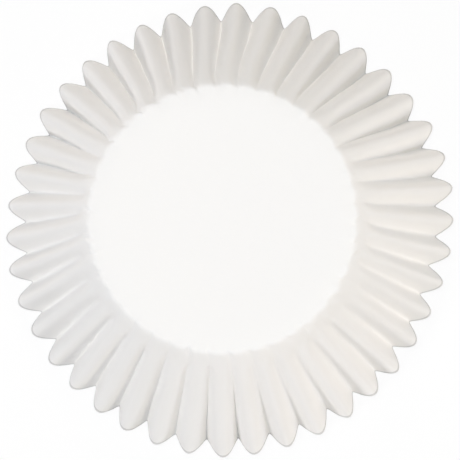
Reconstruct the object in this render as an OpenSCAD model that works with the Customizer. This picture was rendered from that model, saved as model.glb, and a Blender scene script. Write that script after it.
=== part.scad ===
// Paper baking cup, pressed from one flat round of paper and turned over to stand on its
// rim: a flat base on top, a small fold round it, and a flared wall whose spare paper
// stands in flutes. The cup is open underneath.

/* [Paper] */
// Diameter of the flat round of paper
blank_d = 114.3; // [100:0.1:130]
// Thickness of the paper
paper = 0.08; // [0.06:0.01:0.2]

/* [Cup] */
// Diameter of the base, measured at the corner of its fold
base_d = 44.5; // [38:0.1:52]
// Lean of the wall outwards from upright, in degrees
flare = 26; // [18:0.5:34]
// Radius of the fold between the base and the wall
fold_r = 1.2; // [0.8:0.1:3]

/* [Flutes] */
// Number of flutes round the wall
flutes = 42; // [30:2:54]

/* [Rim] */
// How far the rim stands out where the cup is widest, and in where it is narrowest
oval = 0.5; // [0:0.1:1.5]
// Direction in which the cup is widest, in degrees from the X axis
oval_turn = 60; // [0:1:179]

/* [Hidden] */

// The fold turns the paper down from the flat of the base to the wall
fold_turn = 90 - flare;
fold_len = PI * fold_r * fold_turn / 180;
flat_r = base_d / 2 - fold_r * tan(fold_turn / 2);
slant = blank_d / 2 - flat_r;

// Height of a cosine arch's mean line, as a share of its depth
arch_mean = 2 / PI;

// Points along each flute, from one crease to the next
arch_steps = 8;
columns = flutes * arch_steps;

// Rings of points up the wall, closer together near the fold where the flutes start
flat_lap = 1;
fold_steps = 2;
wall_steps = 4;
wall_ease = 1.6;
fold_rings = [for (i = [0:fold_steps - 1]) fold_len * i / fold_steps];
wall_rings = [for (i = [0:wall_steps]) fold_len + (slant - fold_len) * pow(i / wall_steps, wall_ease)];
rings = concat([-flat_lap], fold_rings, wall_rings);
last_ring = len(rings) - 1;

// Steps round the plain edge of the base's flat
flat_round = 180;

// The paper's mean surface, at a distance s along the paper from the edge of the flat:
// its lean from the base, its distance from the axis and its drop below the base's middle
function lean(s) = fold_turn * max(0, min(s / fold_len, 1));
function mean_r(s) = flat_r + min(s, 0) + fold_r * sin(lean(s)) + max(0, s - fold_len) * sin(flare);
function drop(s) = fold_r * (1 - cos(lean(s))) + max(0, s - fold_len) * cos(flare);

// How much more paper there is at s than a plain cone would use
function fullness(s) = (flat_r + s) / mean_r(s);

// The slope at the crease of a cosine arch that takes up this fullness. Such an arch is
// as long as half an ellipse, and the length of that gives a quadratic for its long axis.
function long_axis(full) = (6 * full - 4 + sqrt(12 * full * full + 24 * full - 20)) / 6;
function steepness(full) = sqrt(max(0, pow(long_axis(full), 2) - 1));
function arch_depth(s) = steepness(fullness(s)) * 2 * mean_r(s) / flutes;

// The cup stands on the creases' ends, which reach lowest at the rim. This is the height
// of the base's underside above them.
rim_skin = paper / 2 * sqrt(1 + pow(steepness(fullness(slant)), 2));
underside = drop(slant) + (arch_depth(slant) * arch_mean + rim_skin) * sin(flare) - paper / 2;

// A point on the paper's outer (side = 1) or inner (side = -1) face, in column j of
// the ring at s. Column 0 is the crown of a flute, half a flute on is a sharp crease.
function skin_point(s, j, side) =
    let (
        steep = steepness(fullness(s)),
        turn = 360 * j / columns,
        swing = 180 * j / arch_steps,
        crease = j % arch_steps == arch_steps / 2,
        slope = crease ? 0 : steep * sin(swing) * sign(cos(swing)),
        across = sqrt(1 + slope * slope),
        skin = side * paper / 2,
        bulge = arch_depth(s) * (abs(cos(swing)) - arch_mean),
        out = bulge + skin * (crease ? sqrt(1 + steep * steep) : 1 / across),
        along = skin * slope / across,
        stand = oval * max(0, s) / slant * cos(2 * (turn - oval_turn)),
        r = mean_r(s) + stand + out * sin(lean(s))
    )
    [
        r * cos(turn) - along * sin(turn),
        r * sin(turn) + along * cos(turn),
        paper / 2 - drop(s) + out * cos(lean(s))
    ];

// Index of a point: outer face first, then the inner face, ring by ring
function at(face, i, j) = (face * len(rings) + i) * columns + j % columns;

// The two triangles between four corners
function pair(a, b, c, d) = [[a, b, c], [a, c, d]];

// The wall, its fold and a narrow strip of the base, as one sheet of paper
module fluted_wall() {
    skins = [
        for (side = [1, -1])
            for (s = rings)
                for (j = [0:columns - 1])
                    skin_point(s, j, side)
    ];
    outer = [
        for (i = [0:last_ring - 1])
            for (j = [0:columns - 1])
                each pair(at(0, i, j), at(0, i, j + 1), at(0, i + 1, j + 1), at(0, i + 1, j))
    ];
    inner = [
        for (i = [0:last_ring - 1])
            for (j = [0:columns - 1])
                each pair(at(1, i, j), at(1, i + 1, j), at(1, i + 1, j + 1), at(1, i, j + 1))
    ];
    rim = [
        for (j = [0:columns - 1])
            each pair(at(0, last_ring, j), at(0, last_ring, j + 1), at(1, last_ring, j + 1), at(1, last_ring, j))
    ];
    strip_edge = [
        for (j = [0:columns - 1])
            each pair(at(0, 0, j), at(1, 0, j), at(1, 0, j + 1), at(0, 0, j + 1))
    ];
    polyhedron(points = skins, faces = concat(outer, inner, rim, strip_edge));
}

// The flat of the base, which laps half way over the strip at the head of the wall
module base_flat() {
    cylinder(r = flat_r - flat_lap / 2, h = paper, $fn = flat_round);
}

module liner() {
    color("whitesmoke")
        translate([0, 0, underside])
            union() {
                fluted_wall();
                base_flat();
            }
}

liner();
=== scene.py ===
import math
import bpy
from mathutils import Matrix, Vector


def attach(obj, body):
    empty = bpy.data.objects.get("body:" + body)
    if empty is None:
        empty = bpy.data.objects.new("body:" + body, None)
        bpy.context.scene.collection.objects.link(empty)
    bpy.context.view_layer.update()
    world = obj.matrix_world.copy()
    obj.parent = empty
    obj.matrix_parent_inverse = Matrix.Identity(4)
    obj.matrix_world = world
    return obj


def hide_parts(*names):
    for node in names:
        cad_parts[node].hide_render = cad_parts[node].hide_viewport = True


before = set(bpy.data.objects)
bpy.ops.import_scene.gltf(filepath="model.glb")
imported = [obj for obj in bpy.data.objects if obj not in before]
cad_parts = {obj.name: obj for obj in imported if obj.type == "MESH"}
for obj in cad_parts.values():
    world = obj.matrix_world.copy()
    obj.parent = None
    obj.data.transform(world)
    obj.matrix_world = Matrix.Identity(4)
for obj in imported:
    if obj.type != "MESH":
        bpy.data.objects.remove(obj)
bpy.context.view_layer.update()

print("frame loaded:", list(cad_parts))


# plain arithmetic on the values of a node tree

class Field:
    def __init__(self, tree, socket):
        self.tree = tree
        self.socket = socket

    def math(self, operation, *others):
        node = self.tree.nodes.new("ShaderNodeMath")
        node.operation = operation
        for place, value in enumerate((self, *others)):
            feed(self.tree, node.inputs[place], value)
        return Field(self.tree, node.outputs[0])

    def __add__(self, other): return self.math("ADD", other)
    def __radd__(self, other): return self.math("ADD", other)
    def __sub__(self, other): return self.math("SUBTRACT", other)
    def __rsub__(self, other): return (self * -1) + other
    def __mul__(self, other): return self.math("MULTIPLY", other)
    def __truediv__(self, other): return self.math("DIVIDE", other)
    def __pow__(self, other): return self.math("POWER", other)

    def sin(self): return self.math("SINE")
    def cos(self): return self.math("COSINE")
    def exp(self): return self.math("EXPONENT")
    def root(self): return self.math("SQRT")
    def whole(self): return self.math("FLOOR")
    def atLeast(self, other): return self.math("MAXIMUM", other)
    def atMost(self, other): return self.math("MINIMUM", other)
    def over(self, other): return self.math("GREATER_THAN", other)


def feed(tree, socket, value):
    if isinstance(value, Field):
        tree.links.new(value.socket, socket)
    else:
        socket.default_value = value


def smooth(value):   # eases a value that runs from 0 to 1
    held = value.atLeast(0.0).atMost(1.0)
    return held * held * (3.0 - held * 2.0)


def vector(tree, x, y, z):
    node = tree.nodes.new("ShaderNodeCombineXYZ")
    for place, value in enumerate((x, y, z)):
        feed(tree, node.inputs[place], value)
    return node.outputs[0]


def behind(tree, kind, shape):   # a new geometry node that takes the shape in
    node = tree.nodes.new(kind)
    tree.links.new(shape, node.inputs[0])
    return node


def mixShaders(tree, share, one, other):
    mix = tree.nodes.new("ShaderNodeMixShader")
    feed(tree, mix.inputs[0], share)
    tree.links.new(one, mix.inputs[1])
    tree.links.new(other, mix.inputs[2])
    return mix.outputs[0]


def seenRays(tree):   # 1 for what the camera sees, also in gloss or through glass
    path = tree.nodes.new("ShaderNodeLightPath")
    straight = Field(tree, path.outputs["Is Camera Ray"])
    glossy = Field(tree, path.outputs["Is Glossy Ray"])
    through = Field(tree, path.outputs["Is Transmission Ray"])
    return straight.atLeast(glossy).atLeast(through)


# the liner: a round of paper pressed into flutes, turned over on its rim

liner = {
    "sizes": {                         # metres and radians
        "Flutes": 42.0,
        "Blank Radius": 0.05715,       # of the flat round
        "Base Radius": 0.02208,
        "Fold Radius": 0.0007,         # at the base's corner
        "Fold Turn": math.radians(57.0),
        "Corner Share": 0.55,          # of the fold's radius, from the corner back to the flat
        "Ease Radius": 0.0080,         # from the corner to the straight wall
        "Flare": math.radians(25.7),   # of the straight wall, off upright
        "Paper": 0.00008,
        "Creased Paper": 2.25,         # times as thick, straight across a crease at the rim
        "Crease Width": 0.29,          # 0 is a knife crease
        "Rim Crease Width": 0.18,
        "Rim Crease Onset": 7.0,       # a higher power sets in closer to the rim
        "Depth Share": 1.1,            # of the depth that the spare paper gives
        "Low Depth": 0.9,              # how much of it is there at the fold
        "Even Depth Onset": 6.0,       # the same for where the depths grow even
        "Depth Wander": 0.10,          # share of a flute's depth
        "Crown Wander": 0.03,          # sideways, in flutes, at the rim
        "Start Wander": 0.06,          # the same at the fold
        "Start Sway": 0.035,           # by which all the flutes' starts bend to one side
        "Start Reach": 0.010,          # how far along the paper from the fold
        "Low Sway": 0.063,             # the same for the lower wall
        "Low Reach": 0.026,
        "Sway Ease": 0.002,            # none of it at the fold itself
        "Flute Start": 0.0003,         # where the flutes begin
        "Late Start": 0.0036,          # how much later on the side where they begin last
        "Late Start Turn": math.radians(270.0),
        "Late Start Wander": 0.4,      # share of it
        "Faint Start": 0.20,           # share of the depth that they have before
        "Faint Growth": 0.0012,
        "Flute Growth": 0.0035,        # and how far on they have their full depth
        "Flat Crown": 0.8,             # on one side crowns are flatter and creases narrower
        "Flat Crown Turn": math.radians(243.0),
        "Round Crown Onset": 8.0,      # as for the creases, where they grow round again
        "Wall Waviness": 0.00008,
        "Waviness Ease": 0.004,
        "Streaks": 0.00003,            # fine lines that run down the wall
        "Streak Ease": 0.002,
        "Fold Crumple": 0.00010,
        "Crumple Reach": 0.0055,       # down the wall
        "Crumple Inset": 0.0006,       # in over the base
        "Edge Droop": 0.00018,
        "Droop Inset": 0.0027,
        "Edge Scallop": 0.00028,       # how far the creases notch the base's edge
        "Scallop Reach": 0.0035,
        "Scallop Inset": 0.0009,
        "Scallop Wander": 0.5,         # share of it
        "Seed": 7.0,
    },
    "swells": {                        # number of swells round the cup: strength, direction
        "Rim Swell": {                 # metres and degrees
            1: (0.000065, -50.0), 2: (0.000467, 63.0), 3: (0.00023, 24.0),
            4: (0.000222, 4.0), 5: (0.000094, 17.0), 6: (0.000108, 16.0)},
        "Depth Swell": {               # shares of the depth, above the rim
            0: (-0.15, 0.0), 1: (0.23, 86.0), 2: (0.03, -12.0), 3: (0.06, 18.0)},
        "Flute Sway": {                # in flutes, where they crowd together
            1: (0.037, -129.0), 2: (0.037, -55.0), 3: (0.016, -30.0), 4: (0.013, -22.0)},
        "Low Sway": {                  # how the creases bend on the lower wall
            1: (0.085, 56.4), 2: (0.044, 86.9), 3: (0.045, 11.7),
            4: (0.039, -19.4), 6: (0.039, -23.8)},
        "Start Sway": {                # and close to the fold
            1: (0.031, -57.4), 2: (0.068, -54.0), 3: (0.080, 5.2),
            4: (0.060, 32.4), 5: (0.060, -7.5), 6: (0.055, -1.2)},
        "Crease Soft": {               # where the creases are soft and where crisp, as powers of e
            1: (0.588, -91.8), 2: (0.934, -12.0), 3: (0.508, -37.0),
            4: (0.235, 4.6), 5: (0.201, 12.9)},
    },
    "sides": {                         # cosines off a side's middle, where it begins and is full
        "late": (-0.6, 0.6),
        "flat": (0.80, 0.98),
    },
    # noise lies on a drum, so that it closes round the cup: the drum's radius, steps down the
    # wall for each metre, shift, scale and detail
    "noise": {
        "crown": (7.0, 0.0, 20.0, 1.0, 0.0),
        "start": (7.0, 60.0, 0.0, 1.0, 0.0),
        "depth": (7.0, 60.0, 0.0, 0.8, 0.0),
        "late": (7.0, 0.0, 20.0, 1.3, 0.0),
        "scallop": (7.0, 0.0, 20.0, 1.7, 0.0),
        "waviness": (16.0, 260.0, 40.0, 0.35, 1.0),
        "streaks": (34.0, 40.0, 60.0, 1.0, 1.0),
        "crumple": (16.0, 260.0, 40.0, 1.0, 2.0),
        "crumpled place": (7.0, 0.0, 20.0, 0.8, 0.0),
    },
    "mesh": {
        "columnsPerFlute": 24,
        "rings": 46,
        "baseRings": 8,
        "creaseCrowding": 0.60,
        "baseCrowding": 2.2,           # 1 spaces the rings evenly, more draws them to the fold
        "wallCrowding": 1.5,
        "weld": 0.000001,
        "cutCorner": math.radians(70.0),
    },
}
for name, swells in liner["swells"].items():
    for times, (strength, direction) in swells.items():
        liner["sizes"][f"{name} {times}"] = strength
        liner["sizes"][f"{name} {times} Turn"] = math.radians(direction)
tiny = 0.0001                      # keeps whole numbers whole and divisors off 0
archMiddle = 2 / math.pi           # the mean height of an arch, where the plain cup lies


def swellSum(size, name, angle):
    total = 0.0
    for times in liner["swells"][name]:
        strength, turn = size[f"{name} {times}"], size[f"{name} {times} Turn"]
        total = ((angle - turn) * float(times)).cos() * strength + total
    return total


def wander(tree, size, name, angle, out):   # noise between about -1 and 1
    drum, down, shift, scale, detail = liner["noise"][name]
    place = vector(tree, angle.cos() * drum, angle.sin() * drum, out * down + size["Seed"] + shift)
    node = tree.nodes.new("ShaderNodeTexNoise")
    node.noise_dimensions = "3D"
    tree.links.new(place, node.inputs["Vector"])
    node.inputs["Scale"].default_value = scale
    node.inputs["Detail"].default_value = detail
    return Field(tree, node.outputs[0]) * 4.0 - 2.0


def oneSide(name, angle, turn):   # 1 on the side that faces the turn, 0 on the other
    begins, full = liner["sides"][name]
    return smooth(((angle - turn).cos() - begins) / (full - begins))


def cupLine(size, first, lean, past):   # how far out and down the plain wall has come
    corner, ease, flare = size["Fold Radius"], size["Ease Radius"], size["Flare"]
    outward = corner * first.sin() + ease * (lean.sin() - first.sin()) + past * flare.sin()
    down = corner * (1.0 - first.cos()) + ease * (first.cos() - lean.cos()) + past * flare.cos()
    return outward, down


def fluteDepth(size, paper, radius):   # what the spare paper gives, for a circle of the radius
    full = (paper / radius.atLeast(tiny)).atLeast(1.0)
    # a sine wave is as long as an ellipse's edge; this solves that edge for its long half
    long = (full * 6.0 - 4.0 + (full * full * 12.0 + full * 24.0 - 20.0).root()) / 6.0
    steep = (long * long - 1.0).atLeast(0.0).root()
    return steep * 2.0 * radius / size["Flutes"] * size["Depth Share"]


def flatPaper(tree):   # a flat grid, one row of points for each ring of the liner
    grid = tree.nodes.new("GeometryNodeMeshGrid")
    columns = int(liner["sizes"]["Flutes"]) * liner["mesh"]["columnsPerFlute"]
    grid.inputs["Size X"].default_value = 1.0
    grid.inputs["Size Y"].default_value = 1.0
    grid.inputs["Vertices X"].default_value = columns + 1
    grid.inputs["Vertices Y"].default_value = liner["mesh"]["rings"]
    spot = tree.nodes.new("GeometryNodeInputPosition")
    split = tree.nodes.new("ShaderNodeSeparateXYZ")
    tree.links.new(spot.outputs[0], split.inputs[0])
    around = Field(tree, split.outputs[0]) + 0.5
    along = Field(tree, split.outputs[1]) + 0.5
    return grid.outputs["Mesh"], around, along


def countFlutes(size, around):   # whole numbers are crowns, and points crowd at the creases
    step = around * size["Flutes"] + 0.5
    flute = (step + tiny).whole()
    part = step - flute
    crowding = liner["mesh"]["creaseCrowding"] / (2 * math.pi)
    part = part - (part * (2 * math.pi)).sin() * crowding
    return flute + part - 0.5


def pressCup(tree, size, phase, along):   # where each point of the paper goes
    angle = phase * (2 * math.pi) / size["Flutes"]

    # how far along the paper from the edge of the base's flat
    turn = math.pi / 2 - size["Flare"]
    flat = size["Base Radius"] - size["Fold Radius"] * size["Corner Share"]
    slant = size["Blank Radius"] - flat
    bend = size["Fold Radius"] * size["Fold Turn"]
    ease = size["Ease Radius"] * (turn - size["Fold Turn"])
    share = liner["mesh"]["baseRings"] / (liner["mesh"]["rings"] - 1)
    onBase = (1.0 - along / share).atLeast(0.0) ** liner["mesh"]["baseCrowding"] * flat
    onWall = ((along - share) / (1 - share)).atLeast(0.0) ** liner["mesh"]["wallCrowding"]
    out = onWall * slant
    reach = out - onBase

    # the plain cup without flutes, and how high its base is when the rim stands on the table
    first = (out / bend).atMost(1.0) * size["Fold Turn"]
    eased = ((out - bend) / ease).atLeast(0.0).atMost(1.0)
    lean = first + eased * (turn - size["Fold Turn"])
    outward, drop = cupLine(size, first, lean, (out - bend - ease).atLeast(0.0))
    radius = flat - onBase + outward
    wide, fall = cupLine(size, size["Fold Turn"], turn, slant - bend - ease)
    rimCrease = fluteDepth(size, flat + slant, flat + wide) * archMiddle
    top = fall + rimCrease * size["Flare"].sin() + size["Paper"] * size["Creased Paper"]

    # how the flutes lean aside
    noise = {name: wander(tree, size, name, angle, out) for name in liner["noise"]}
    start = (1.0 - out / size["Start Reach"]).atLeast(0.0)
    low = (1.0 - out / size["Low Reach"]).atLeast(0.0)
    startSway = noise["start"] * size["Start Wander"]
    startSway = startSway + (swellSum(size, "Start Sway", angle) + size["Start Sway"])
    lowSway = swellSum(size, "Low Sway", angle) + size["Low Sway"]
    aside = noise["crown"] * size["Crown Wander"] + startSway * start * start + lowSway * low
    aside = (aside + swellSum(size, "Flute Sway", angle)) * smooth(out / size["Sway Ease"])
    bearing = (phase + aside) * (2 * math.pi) / size["Flutes"]

    # one arch from crease to crease, round at its crown and more or less crisp at its ends
    wave = (phase * math.pi).cos()
    width = swellSum(size, "Crease Soft", angle).exp() * size["Crease Width"]
    width = width + (size["Rim Crease Width"] - width) * onWall ** size["Rim Crease Onset"]
    arch = (wave * wave + width * width).root() - width
    arch = arch / ((width * width + 1.0).root() - width)
    flatter = oneSide("flat", angle, size["Flat Crown Turn"]) * size["Flat Crown"]
    flatter = flatter * (1.0 - onWall ** size["Round Crown Onset"])
    arch = 1.0 - (1.0 - arch).atLeast(0.0) ** (1.0 + flatter)

    # the flutes grow from the fold on
    late = oneSide("late", angle, size["Late Start Turn"]) * size["Late Start"]
    late = late * (1.0 + noise["late"] * size["Late Start Wander"])
    begun = smooth((out - size["Flute Start"] - late) / size["Flute Growth"])
    faint = smooth(out / size["Faint Growth"]) * size["Faint Start"]
    begun = begun + (1.0 - begun) * faint
    built = size["Low Depth"] + (1.0 - size["Low Depth"]) * onWall
    depth = fluteDepth(size, flat + reach, radius) * built
    plain = depth * begun * (arch - archMiddle)
    uneven = (1.0 - onWall ** size["Even Depth Onset"]) * swellSum(size, "Depth Swell", angle)
    deeper = 1.0 + noise["depth"] * size["Depth Wander"] + uneven

    # small waves, streaks and crumples
    waves = noise["waviness"] * size["Wall Waviness"] * smooth(out / size["Waviness Ease"])
    waves = waves + noise["streaks"] * size["Streaks"] * smooth(out / size["Streak Ease"])
    close = smooth(1.0 - out / size["Crumple Reach"]) * smooth(1.0 - onBase / size["Crumple Inset"])
    crumple = noise["crumple"] * size["Fold Crumple"] * close
    waves = waves + crumple * (1.0 + noise["crumpled place"])
    bulge = plain * deeper + waves

    # the base's edge is notched by the creases and bends down a little before the fold
    edge = smooth(1.0 - onBase / size["Scallop Inset"]) * smooth(1.0 - out / size["Scallop Reach"])
    notch = (arch - 1.0) * edge * size["Edge Scallop"]
    notch = notch * (1.0 + noise["scallop"] * size["Scallop Wander"])
    nearFold = (1.0 - onBase / size["Droop Inset"]).atLeast(0.0)
    sink = nearFold * nearFold * size["Edge Droop"]

    r = radius + swellSum(size, "Rim Swell", angle) * onWall + bulge * lean.sin() + notch
    level = bulge + (plain - bulge) * onWall       # the rim stays on the table
    z = top - drop - sink + level * lean.cos()
    return vector(tree, r * bearing.cos(), r * bearing.sin(), z), reach / slant


def weld(tree, shape):
    merge = behind(tree, "GeometryNodeMergeByDistance", shape)
    merge.inputs["Distance"].default_value = liner["mesh"]["weld"]
    return merge.outputs[0]


def buildLinerTree(material):
    tree = bpy.data.node_groups.new("fluted liner", "GeometryNodeTree")
    tree.is_modifier = True
    face = tree.interface
    face.new_socket("Geometry", in_out="INPUT", socket_type="NodeSocketGeometry")
    face.new_socket("Geometry", in_out="OUTPUT", socket_type="NodeSocketGeometry")
    for name in liner["sizes"]:
        face.new_socket(name, in_out="INPUT", socket_type="NodeSocketFloat")
    ends = tree.nodes.new("NodeGroupInput")
    size = {name: Field(tree, ends.outputs[name]) for name in liner["sizes"]}
    shape, around, along = flatPaper(tree)
    spot, reachShare = pressCup(tree, size, countFlutes(size, around), along)

    # how far out a point lies on the paper, for the finish; kept while the grid is still flat
    store = behind(tree, "GeometryNodeStoreNamedAttribute", shape)
    store.data_type = "FLOAT"
    store.domain = "POINT"
    store.inputs["Name"].default_value = "alongPaper"
    feed(tree, store.inputs["Value"], reachShare)
    place = behind(tree, "GeometryNodeSetPosition", store.outputs[0])
    tree.links.new(spot, place.inputs["Position"])
    shape = weld(tree, place.outputs[0])

    # the second face of the paper
    thick = behind(tree, "GeometryNodeExtrudeMesh", shape)
    thick.mode = "FACES"
    thick.inputs["Individual"].default_value = False
    feed(tree, thick.inputs["Offset Scale"], size["Paper"] * -1.0)
    flip = behind(tree, "GeometryNodeFlipFaces", thick.outputs["Mesh"])
    both = behind(tree, "GeometryNodeJoinGeometry", shape)
    tree.links.new(flip.outputs[0], both.inputs[0])
    shape = weld(tree, both.outputs[0])

    # smooth paper with a crisp cut edge
    soft = behind(tree, "GeometryNodeSetShadeSmooth", shape)
    soft.domain = "FACE"
    corner = tree.nodes.new("GeometryNodeInputMeshEdgeAngle")
    crisp = behind(tree, "GeometryNodeSetShadeSmooth", soft.outputs[0])
    crisp.domain = "EDGE"
    cutEdges = Field(tree, corner.outputs[0]).over(liner["mesh"]["cutCorner"])
    feed(tree, crisp.inputs["Selection"], cutEdges)
    crisp.inputs["Shade Smooth"].default_value = False

    real = behind(tree, "GeometryNodeRealizeInstances", crisp.outputs[0])
    finish = behind(tree, "GeometryNodeSetMaterial", real.outputs[0])
    finish.inputs["Material"].default_value = material
    leave = tree.nodes.new("NodeGroupOutput")
    tree.links.new(finish.outputs[0], leave.inputs[0])
    return tree


# the finish of the paper

paperFinish = {
    "colour": (0.93, 0.925, 0.91),
    "roughness": 0.8,
    "shine": 0.15,
    "glow through": 0.01,
    "grain": 0.00003,              # how high
    "grain fineness": 2200.0,
    "grain detail": 3.0,
    "painted rim shade": 0.76,              # painted shade: how bright the last of the rim is painted, standing in for shade along the rim edge
    "painted rim shade starts": 0.980,      # share of the way from the fold to the rim
    "painted rim shade blend": 0.004,
}


def buildPaper():
    material = bpy.data.materials.new("greaseproof paper")
    material.use_nodes = True
    tree = material.node_tree
    shader = tree.nodes["Principled BSDF"]
    colour = paperFinish["colour"]
    place = tree.nodes.new("ShaderNodeAttribute")
    place.attribute_name = "alongPaper"
    along = Field(tree, place.outputs["Fac"])
    # painted shade: the paper's colour is darkened over the last of the rim, standing in for shade
    # along its edge
    paperWithPaintedShade = tree.nodes.new("ShaderNodeMix")
    paperWithPaintedShade.data_type = "RGBA"
    edge = smooth((along - paperFinish["painted rim shade starts"]) / paperFinish["painted rim shade blend"])
    feed(tree, paperWithPaintedShade.inputs["Factor"], edge)
    paperWithPaintedShade.inputs[6].default_value = (*colour, 1.0)  # the colour sockets A and B
    paperWithPaintedShade.inputs[7].default_value = (*(part * paperFinish["painted rim shade"] for part in colour), 1.0)
    tree.links.new(paperWithPaintedShade.outputs[2], shader.inputs["Base Color"])
    shader.inputs["Roughness"].default_value = paperFinish["roughness"]
    shader.inputs["Specular IOR Level"].default_value = paperFinish["shine"]
    spot = tree.nodes.new("ShaderNodeTexCoord")
    grain = tree.nodes.new("ShaderNodeTexNoise")
    grain.inputs["Scale"].default_value = paperFinish["grain fineness"]
    grain.inputs["Detail"].default_value = paperFinish["grain detail"]
    tree.links.new(spot.outputs["Object"], grain.inputs["Vector"])
    bump = tree.nodes.new("ShaderNodeBump")
    bump.inputs["Strength"].default_value = 1.0
    bump.inputs["Distance"].default_value = paperFinish["grain"]
    tree.links.new(grain.outputs[0], bump.inputs["Height"])
    tree.links.new(bump.outputs[0], shader.inputs["Normal"])
    through = tree.nodes.new("ShaderNodeBsdfTranslucent")
    tree.links.new(paperWithPaintedShade.outputs[2], through.inputs["Color"])
    tree.links.new(bump.outputs[0], through.inputs["Normal"])
    mixed = mixShaders(tree, paperFinish["glow through"], shader.outputs[0], through.outputs[0])
    tree.links.new(mixed, tree.nodes["Material Output"].inputs["Surface"])
    return material


def makeLiner():
    material = buildPaper()
    tree = buildLinerTree(material)
    seed = bpy.data.objects.new("linerForm", bpy.data.meshes.new("linerForm"))
    bpy.context.collection.objects.link(seed)
    modifier = seed.modifiers.new("flutes", "NODES")
    modifier.node_group = tree
    for socket in tree.interface.items_tree:
        if socket.in_out == "INPUT" and socket.name in liner["sizes"]:
            modifier[socket.identifier] = liner["sizes"][socket.name]
    depsgraph = bpy.context.evaluated_depsgraph_get()
    mesh = bpy.data.meshes.new_from_object(seed.evaluated_get(depsgraph), depsgraph=depsgraph)
    mesh.name = "paper liner"
    mesh.materials.clear()         # the grid leaves an empty slot before the paper's
    mesh.materials.append(material)
    mesh.polygons.foreach_set("material_index", [0] * len(mesh.polygons))
    bpy.data.objects.remove(seed)
    piece = bpy.data.objects.new("paperLiner", mesh)
    bpy.context.collection.objects.link(piece)
    return piece


paperLiner = makeLiner()
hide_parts("liner")
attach(paperLiner, "root")
made = paperLiner.data
print("liner made:", len(made.vertices), "points,", len(made.polygons), "faces")


# the table

table = {
    "half": 1.5,                   # of its side
    "colour": (0.91, 0.91, 0.91, 1.0),
    "whitening": 0.92,             # how much of its white is its own, for the camera alone
}


def makeTable():
    mesh = bpy.data.meshes.new("table top")
    half = table["half"]
    corners = [(-half, -half, 0), (half, -half, 0), (half, half, 0), (-half, half, 0)]
    mesh.from_pydata(corners, [], [(0, 1, 2, 3)])
    top = bpy.data.objects.new("tableTop", mesh)
    bpy.context.collection.objects.link(top)
    material = bpy.data.materials.new("white table")
    material.use_nodes = True
    tree = material.node_tree
    tree.nodes.remove(tree.nodes["Principled BSDF"])
    lit = tree.nodes.new("ShaderNodeBsdfDiffuse")
    lit.inputs["Color"].default_value = table["colour"]
    white = tree.nodes.new("ShaderNodeEmission")
    white.inputs["Color"].default_value = (1, 1, 1, 1)
    white.inputs["Strength"].default_value = 1.0
    share = seenRays(tree) * table["whitening"]
    mixed = mixShaders(tree, share, lit.outputs[0], white.outputs[0])
    tree.links.new(mixed, tree.nodes["Material Output"].inputs["Surface"])
    mesh.materials.append(material)


# the light: for each lamp, azimuth and elevation in degrees as the camera sees them, width
# in metres, share of full white on a surface that faces it, and its tint

lamps = {
    "overhead": (0, 89, 0.3, 0.424, (0.89, 0.95, 1.00)),
    "highBack": (135, 68, 0.3, 0.254, (0.94, 0.95, 1.00)),
    "left": (216, 34, 0.3, 0.315, (1.00, 0.96, 0.95)),
    "back": (96, 34, 0.3, 0.156, (1.00, 0.80, 0.57)),
    "backRight": (60, 50, 0.3, 0.060, (1.00, 0.99, 0.98)),
    "frontRight": (312, 20, 0.3, 0.209, (1.00, 0.90, 0.75)),
    "lowRight": (336, 8, 0.3, 0.200, (0.93, 0.91, 1.00)),
    "lowFarRight": (0, 8, 0.3, 0.095, (1.00, 0.82, 0.51)),
}
room = {
    "worldLevel": 0.0,             # the lamps alone light the cup
    "lampDistance": 1.2,
    "turn": -2.3,                  # from the camera's azimuth to the cup's, in degrees
}


def makeLight():
    for name, (azimuth, elevation, width, level, tint) in lamps.items():
        lamp = bpy.data.lights.new(name, "AREA")
        lamp.shape = "DISK"
        lamp.size = width
        lamp.color = tint
        lamp.energy = level * (math.pi * room["lampDistance"]) ** 2    # gives that level there
        up, side = math.radians(elevation), math.radians(azimuth + room["turn"])
        flat = math.cos(up)
        toward = Vector((math.cos(side) * flat, math.sin(side) * flat, math.sin(up)))
        holder = bpy.data.objects.new(name, lamp)
        holder.location = toward * room["lampDistance"]
        holder.rotation_euler = toward.to_track_quat("Z", "Y").to_euler()
        bpy.context.collection.objects.link(holder)


def makeWorld():
    world = bpy.data.worlds.new("studio")
    world.use_nodes = True
    tree = world.node_tree
    dim = tree.nodes["Background"]
    dim.inputs["Color"].default_value = (1, 1, 1, 1)
    dim.inputs["Strength"].default_value = room["worldLevel"]
    white = tree.nodes.new("ShaderNodeBackground")
    white.inputs["Color"].default_value = (1, 1, 1, 1)
    white.inputs["Strength"].default_value = 1.0
    mixed = mixShaders(tree, seenRays(tree), dim.outputs[0], white.outputs[0])
    tree.links.new(mixed, tree.nodes["World Output"].inputs["Surface"])
    bpy.context.scene.world = world


# the camera

view = {
    "place": (0.02032, -0.03353, 0.63243),
    "target": (0.00061, -0.00104, 0.016),
    "top": math.radians(87.75),    # where the picture's top points, seen from above
    "lens": 287.6,
    "sensor": 36.0,
    "nearest": 0.01,
    "farthest": 10.0,
}


def makeCamera():
    camera = bpy.data.cameras.new("camera")
    camera.lens = view["lens"]
    camera.sensor_width = view["sensor"]
    camera.clip_start = view["nearest"]
    camera.clip_end = view["farthest"]
    holder = bpy.data.objects.new("camera", camera)
    bpy.context.collection.objects.link(holder)
    place, target = Vector(view["place"]), Vector(view["target"])
    back = (place - target).normalized()
    up = Vector((math.cos(view["top"]), math.sin(view["top"]), 0))
    right = up.cross(back).normalized()
    top = back.cross(right)
    turned = Matrix((right, top, back)).transposed().to_4x4()
    holder.matrix_world = Matrix.Translation(place) @ turned
    bpy.context.scene.camera = holder


makeTable()
makeLight()
makeWorld()
makeCamera()
bpy.context.scene.view_settings.view_transform = "Standard"
print("table, light and camera set")
